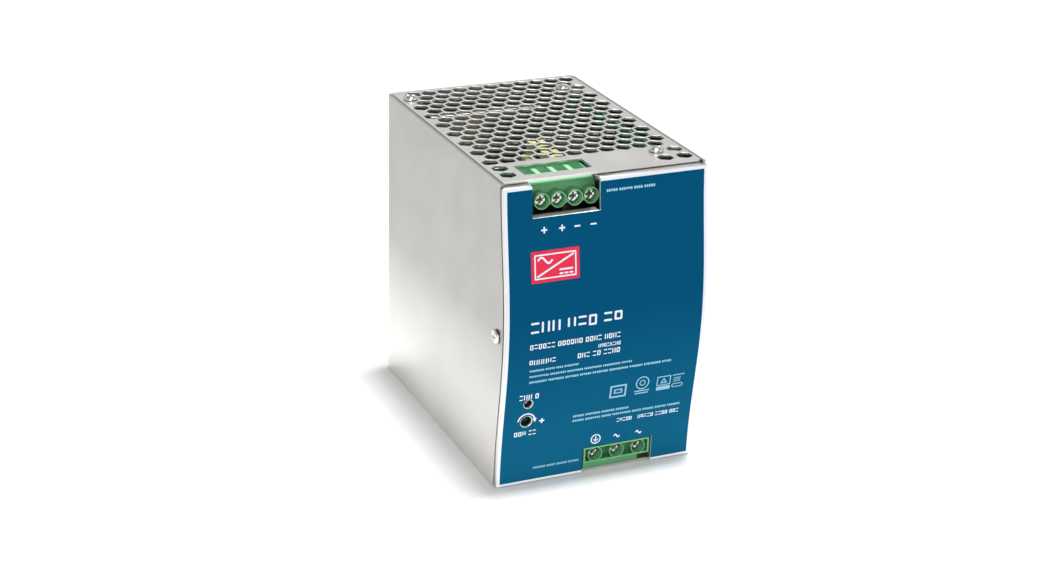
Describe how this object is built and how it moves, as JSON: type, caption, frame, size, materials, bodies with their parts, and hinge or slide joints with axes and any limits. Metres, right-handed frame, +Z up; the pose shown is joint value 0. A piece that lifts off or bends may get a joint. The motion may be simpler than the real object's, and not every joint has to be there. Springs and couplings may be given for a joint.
{
  "type": "din rail power supply",
  "caption": "Rail-mounted switching power supply: perforated sheet-steel case with a bowed front panel, screw terminals, rail clip and its electronics.",
  "frame": {"origin": "centre of the raised face of the rail clip that the rail lies on", "axes": "+Y from the unit towards the rail, -Y out of the front panel, +Z up, +X to the right as seen from the front"},
  "size_m": [0.0886, 0.1335, 0.1271],
  "materials": {
    "case_steel": "satin plated sheet steel",
    "label_film": "smooth printed film",
    "screw_steel": "bright plated steel",
    "clip_steel": "zinc-plated stamped steel",
    "terminal_plastic": "moulded polyamide, fine grain",
    "terminal_metal": "tin-plated",
    "circuit_board": "solder mask over glass laminate",
    "insulator_sheet": "matt film",
    "heatsink_aluminium": "mill finish",
    "capacitor_sleeve": "shrink sleeve",
    "ferrite": "sintered ferrite",
    "winding_tape": "polyester tape",
    "winding_wire": "enamelled copper wire",
    "lamp_lens": "clear green epoxy",
    "adjuster_plastic": "moulded thermoplastic"
  },
  "bodies": {
    "case": {"chassis": "case_steel", "front_panel": "case_steel", "top_cover": "case_steel", "bottom_cover": "case_steel", "front_label": "label_film", "top_cover_screw_1": "screw_steel", "top_cover_screw_2": "screw_steel", "top_cover_screw_3": "screw_steel", "bottom_cover_screw_1": "screw_steel", "bottom_cover_screw_2": "screw_steel", "bottom_cover_screw_3": "screw_steel", "left_side_screw": "screw_steel", "right_side_screw": "screw_steel", "bracket_screw_1": "screw_steel", "bracket_screw_2": "screw_steel", "bracket_screw_3": "screw_steel", "bracket_screw_4": "screw_steel", "rail_bracket": "clip_steel", "latch_spring": "clip_steel", "output_terminal_block": "terminal_plastic", "input_terminal_block": "terminal_plastic", "main_board": "circuit_board", "control_board": "circuit_board", "output_board": "circuit_board", "input_board": "circuit_board", "board_insulator": "insulator_sheet", "board_standoff_1": "screw_steel", "board_standoff_2": "screw_steel", "board_standoff_3": "screw_steel", "board_standoff_4": "screw_steel", "primary_heatsink": "heatsink_aluminium", "secondary_heatsink": "heatsink_aluminium", "bulk_capacitor_1": "capacitor_sleeve", "bulk_capacitor_2": "capacitor_sleeve", "output_capacitor_1": "capacitor_sleeve", "output_capacitor_2": "capacitor_sleeve", "line_choke": "capacitor_sleeve", "transformer_core": "ferrite", "transformer_winding": "winding_tape", "line_capacitor": "winding_tape", "boost_choke": "winding_wire", "output_choke": "winding_wire", "status_lamp": "lamp_lens", "adjuster_body": "adjuster_plastic"},
    "rail_latch": {"rail_latch": "clip_steel"},
    "adjuster_rotor": {"adjuster_rotor": "insulator_sheet"},
    "output_cage_1": {"output_cage_1": "terminal_metal"},
    "output_cage_2": {"output_cage_2": "terminal_metal"},
    "output_cage_3": {"output_cage_3": "terminal_metal"},
    "output_cage_4": {"output_cage_4": "terminal_metal"},
    "output_screw_1": {"output_screw_1": "terminal_metal"},
    "output_screw_2": {"output_screw_2": "terminal_metal"},
    "output_screw_3": {"output_screw_3": "terminal_metal"},
    "output_screw_4": {"output_screw_4": "terminal_metal"},
    "input_cage_1": {"input_cage_1": "terminal_metal"},
    "input_cage_2": {"input_cage_2": "terminal_metal"},
    "input_cage_3": {"input_cage_3": "terminal_metal"},
    "input_screw_1": {"input_screw_1": "terminal_metal"},
    "input_screw_2": {"input_screw_2": "terminal_metal"},
    "input_screw_3": {"input_screw_3": "terminal_metal"}
  },
  "joints": [
    {"name": "latch_slide", "type": "slide", "parent": "case", "child": "rail_latch", "axis": [0, 0, -1], "range_m": [0, 0.005], "stiffness_N_per_m": 1500, "springref_m": -0.002, "deforming": ["latch_spring"]},
    {"name": "adjuster_turn", "type": "hinge", "parent": "case", "child": "adjuster_rotor", "pos_m": [-0.0314, -0.1222, -0.0373], "axis": [0, 1, 0], "range_deg": [-135, 135]},
    {"name": "output_screw_1_turn", "type": "hinge", "parent": "case", "child": "output_screw_1", "pos_m": [-0.0254, -0.1172, 0.0506], "axis": [0, 1, 0], "range_deg": [0, 2960]},
    {"name": "output_cage_1_slide", "type": "slide", "parent": "case", "child": "output_cage_1", "axis": [0, -1, 0], "range_m": [0, 0.0041]},
    {"name": "output_screw_2_turn", "type": "hinge", "parent": "case", "child": "output_screw_2", "pos_m": [-0.0186, -0.1172, 0.0506], "axis": [0, 1, 0], "range_deg": [0, 2960]},
    {"name": "output_cage_2_slide", "type": "slide", "parent": "case", "child": "output_cage_2", "axis": [0, -1, 0], "range_m": [0, 0.0041]},
    {"name": "output_screw_3_turn", "type": "hinge", "parent": "case", "child": "output_screw_3", "pos_m": [-0.0118, -0.1172, 0.0506], "axis": [0, 1, 0], "range_deg": [0, 2960]},
    {"name": "output_cage_3_slide", "type": "slide", "parent": "case", "child": "output_cage_3", "axis": [0, -1, 0], "range_m": [0, 0.0041]},
    {"name": "output_screw_4_turn", "type": "hinge", "parent": "case", "child": "output_screw_4", "pos_m": [-0.005, -0.1172, 0.0506], "axis": [0, 1, 0], "range_deg": [0, 2960]},
    {"name": "output_cage_4_slide", "type": "slide", "parent": "case", "child": "output_cage_4", "axis": [0, -1, 0], "range_m": [0, 0.0041]},
    {"name": "input_screw_1_turn", "type": "hinge", "parent": "case", "child": "input_screw_1", "pos_m": [0.0004, -0.1172, -0.0584], "axis": [0, 1, 0], "range_deg": [0, 2960]},
    {"name": "input_cage_1_slide", "type": "slide", "parent": "case", "child": "input_cage_1", "axis": [0, -1, 0], "range_m": [0, 0.0041]},
    {"name": "input_screw_2_turn", "type": "hinge", "parent": "case", "child": "input_screw_2", "pos_m": [0.0099, -0.1172, -0.0584], "axis": [0, 1, 0], "range_deg": [0, 2960]},
    {"name": "input_cage_2_slide", "type": "slide", "parent": "case", "child": "input_cage_2", "axis": [0, -1, 0], "range_m": [0, 0.0041]},
    {"name": "input_screw_3_turn", "type": "hinge", "parent": "case", "child": "input_screw_3", "pos_m": [0.0194, -0.1172, -0.0584], "axis": [0, 1, 0], "range_deg": [0, 2960]},
    {"name": "input_cage_3_slide", "type": "slide", "parent": "case", "child": "input_cage_3", "axis": [0, -1, 0], "range_m": [0, 0.0041]}
  ],
  "couplings": [
    {"joint": "output_screw_1_turn", "follows": "output_cage_1_slide", "rad_per_m": 12566},
    {"joint": "output_screw_2_turn", "follows": "output_cage_2_slide", "rad_per_m": 12566},
    {"joint": "output_screw_3_turn", "follows": "output_cage_3_slide", "rad_per_m": 12566},
    {"joint": "output_screw_4_turn", "follows": "output_cage_4_slide", "rad_per_m": 12566},
    {"joint": "input_screw_1_turn", "follows": "input_cage_1_slide", "rad_per_m": 12566},
    {"joint": "input_screw_2_turn", "follows": "input_cage_2_slide", "rad_per_m": 12566},
    {"joint": "input_screw_3_turn", "follows": "input_cage_3_slide", "rad_per_m": 12566}
  ]
}
